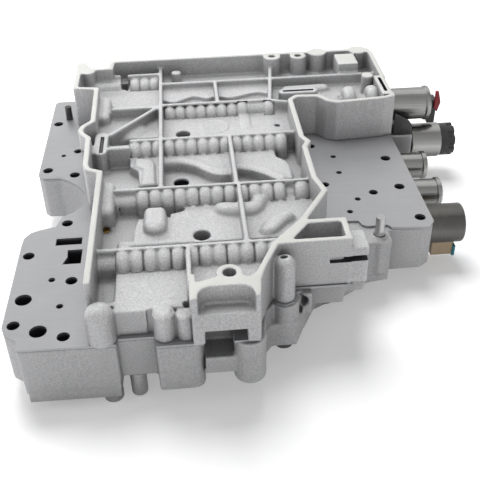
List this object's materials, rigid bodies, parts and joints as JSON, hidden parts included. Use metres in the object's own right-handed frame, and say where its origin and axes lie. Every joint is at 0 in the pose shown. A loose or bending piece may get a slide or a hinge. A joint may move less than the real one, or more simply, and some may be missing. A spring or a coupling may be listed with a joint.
{
  "type": "transmission valve body",
  "caption": "Hydraulic control valve body: ribbed upper casting with open compartments and lobed valve rows, separator plate, lower casting with solenoids.",
  "frame": {"origin": "the rear dowel's axis where its free end leaves the separator plate's top face", "axes": "+Z along the dowel, out of the plate; +X to the solenoid end; +Y to the rear wall"},
  "size_m": [0.3112, 0.3079, 0.0765],
  "materials": {
    "cast_aluminium": "as cast, fine grain, machined rim",
    "plate_steel": "smooth cold rolled",
    "zinc_can": "satin zinc plate",
    "valve_steel": "ground",
    "spring_steel": "oiled",
    "dark_steel": "phosphated",
    "black_plastic": "moulded",
    "red_plastic": "moulded",
    "pale_plastic": "moulded",
    "blue_rubber": "moulded",
    "brass": "turned"
  },
  "bodies": {
    "valve_body": {"upper_body": "cast_aluminium", "lower_body": "cast_aluminium", "bottom_cover": "cast_aluminium", "separator_plate": "plate_steel", "rear_dowel": "dark_steel", "front_dowel": "valve_steel", "clamp_bolts": "dark_steel", "check_balls": "valve_steel", "floor_plug": "brass", "damper_retainer": "dark_steel", "solenoid_1": "zinc_can", "solenoid_2": "zinc_can", "solenoid_3": "zinc_can", "solenoid_4": "zinc_can", "solenoid_5": "zinc_can", "solenoid_1_plug": "black_plastic", "solenoid_1_lock": "red_plastic", "solenoid_2_cap": "black_plastic", "solenoid_2_bracket": "dark_steel", "solenoid_5_plug": "pale_plastic", "solenoid_5_seal": "blue_rubber", "end_plug_a": "valve_steel", "retainer_a": "dark_steel", "end_plug_b": "valve_steel", "retainer_b": "dark_steel", "end_plug_c": "valve_steel", "retainer_c": "dark_steel", "spring_a": "spring_steel", "spring_b": "spring_steel", "spring_c": "spring_steel", "spring_d": "spring_steel", "spring_2": "spring_steel", "spring_3": "spring_steel", "spring_4": "spring_steel", "spring_5": "spring_steel"},
    "valve_a": {"spool_valve_a": "valve_steel"},
    "valve_b": {"spool_valve_b": "valve_steel"},
    "valve_c": {"spool_valve_c": "valve_steel"},
    "valve_d": {"spool_valve_d": "valve_steel"},
    "valve_2": {"spool_valve_2": "valve_steel"},
    "valve_3": {"spool_valve_3": "valve_steel"},
    "valve_4": {"spool_valve_4": "valve_steel"},
    "valve_5": {"spool_valve_5": "valve_steel"}
  },
  "joints": [
    {"name": "valve_a_slide", "type": "slide", "parent": "valve_body", "child": "valve_a", "axis": [1, 0, 0], "range_m": [0, 0.006], "stiffness_N_per_m": 300, "springref_m": -0.004, "deforming": ["spring_a"]},
    {"name": "valve_b_slide", "type": "slide", "parent": "valve_body", "child": "valve_b", "axis": [1, 0, 0], "range_m": [0, 0.006], "stiffness_N_per_m": 300, "springref_m": -0.004, "deforming": ["spring_b"]},
    {"name": "valve_c_slide", "type": "slide", "parent": "valve_body", "child": "valve_c", "axis": [1, 0, 0], "range_m": [0, 0.006], "stiffness_N_per_m": 300, "springref_m": -0.004, "deforming": ["spring_c"]},
    {"name": "valve_d_slide", "type": "slide", "parent": "valve_body", "child": "valve_d", "axis": [-1, 0, 0], "range_m": [0, 0.005], "stiffness_N_per_m": 300, "springref_m": -0.004, "deforming": ["spring_d"]},
    {"name": "valve_2_slide", "type": "slide", "parent": "valve_body", "child": "valve_2", "axis": [-1, 0, 0], "range_m": [0, 0.004], "stiffness_N_per_m": 300, "springref_m": -0.004, "deforming": ["spring_2"]},
    {"name": "valve_3_slide", "type": "slide", "parent": "valve_body", "child": "valve_3", "axis": [-1, 0, 0], "range_m": [0, 0.004], "stiffness_N_per_m": 300, "springref_m": -0.004, "deforming": ["spring_3"]},
    {"name": "valve_4_slide", "type": "slide", "parent": "valve_body", "child": "valve_4", "axis": [-1, 0, 0], "range_m": [0, 0.004], "stiffness_N_per_m": 300, "springref_m": -0.004, "deforming": ["spring_4"]},
    {"name": "valve_5_slide", "type": "slide", "parent": "valve_body", "child": "valve_5", "axis": [-1, 0, 0], "range_m": [0, 0.004], "stiffness_N_per_m": 300, "springref_m": -0.004, "deforming": ["spring_5"]}
  ]
}
